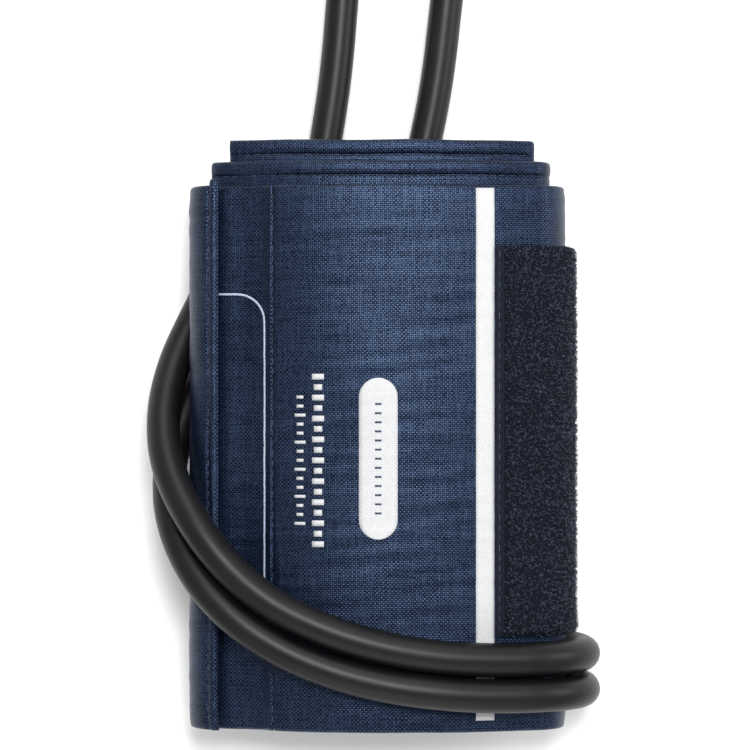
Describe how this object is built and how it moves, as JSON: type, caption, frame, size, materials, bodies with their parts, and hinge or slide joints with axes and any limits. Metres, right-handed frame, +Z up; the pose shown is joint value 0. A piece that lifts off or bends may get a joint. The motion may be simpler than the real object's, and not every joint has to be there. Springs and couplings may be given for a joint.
{
  "type": "blood pressure cuff",
  "caption": "Arm cuff of navy nylon rolled flat, with loop fastener, index stripe and two rubber hoses wound round it, ending in connectors.",
  "frame": {"origin": "centre of the box of the rolled cuff, without its hoses, ports and connectors", "axes": "+Z up from the table, out of the front face; +Y along the roll's axis, towards the end where the inner wraps stand out; +X across the roll, towards the loop fastener"},
  "size_m": [0.1952, 0.2778, 0.0447],
  "materials": {
    "nylon_outer": "fine plain-woven navy nylon with a soft sheen",
    "nylon_inner": "fine woven navy nylon, matt",
    "bladder_rubber": "smooth black rubber",
    "port_rubber": "moulded black rubber",
    "grommet_plastic": "matt dark blue moulding",
    "hose_rubber": "satin black rubber",
    "connector_plastic": "pale grey moulding",
    "collar_plastic": "dark grey moulding",
    "tape_weave": "ribbed woven tape",
    "loop_pile": "curled nylon loop pile",
    "hook_plastic": "stiff nylon hooks",
    "white_print": "screen print over weave",
    "pale_print": "thin pale screen print",
    "navy_print": "dark screen print",
    "thread": "twisted polyester sewing thread"
  },
  "bodies": {
    "cuff": {"outer_cover": "nylon_outer", "inner_liner": "nylon_inner", "bladder": "bladder_rubber", "gauge_port": "port_rubber", "bulb_port": "port_rubber", "gauge_port_grommet": "grommet_plastic", "bulb_port_grommet": "grommet_plastic", "gauge_hose": "hose_rubber", "bulb_hose": "hose_rubber", "gauge_connector": "connector_plastic", "bulb_connector": "connector_plastic", "loop_tape": "tape_weave", "loop_pile": "loop_pile", "hook_tape": "tape_weave", "hook_stubble": "hook_plastic", "index_stripe": "white_print", "pill_label": "white_print", "range_outline": "pale_print", "bold_marks": "white_print", "fine_marks": "white_print", "pill_ticks": "navy_print", "top_hem_stitching": "thread", "bottom_hem_stitching": "thread", "flap_end_stitching": "thread", "core_end_stitching": "thread", "pocket_seam_stitching": "thread", "pocket_end_stitching": "thread", "loop_tape_stitching": "thread", "hook_tape_stitching": "thread"},
    "collar": {"lock_collar": "collar_plastic"}
  },
  "joints": [
    {"name": "lock_collar_turn", "type": "hinge", "parent": "cuff", "child": "collar", "pos_m": [0.0667, 0.19395, -0.01699], "axis": [0.9986, 0.0528, 0], "continuous": true}
  ]
}
